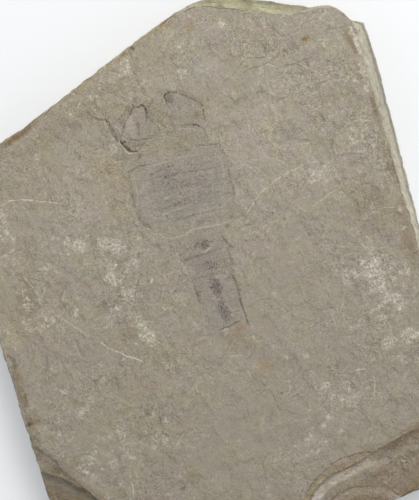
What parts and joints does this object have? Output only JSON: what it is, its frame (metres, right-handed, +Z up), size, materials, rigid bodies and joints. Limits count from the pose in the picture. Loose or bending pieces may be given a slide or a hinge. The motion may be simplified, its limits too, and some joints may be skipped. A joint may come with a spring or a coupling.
{
  "type": "sea scorpion fossil",
  "caption": "Flat slab of laminated grey-beige dolostone with a flattened sea scorpion on its upper face: leg bases, oval banded body and narrow jointed tail. Rests on its flat underside.",
  "frame": {"origin": "on the resting plane, under the middle of the slab's outline", "axes": "+Y along the animal from its tail towards its head, +Z up out of the bedding face, +X to the animal's left-to-right in that view"},
  "size_m": [0.2237, 0.2743, 0.0246],
  "materials": {
    "dolostone": "matte, fine-grained natural stone",
    "cuticle": "thin brown-grey mineral film, slightly satin"
  },
  "bodies": {
    "root": {"slab": "dolostone", "sea_scorpion": "cuticle"}
  },
  "joints": []
}
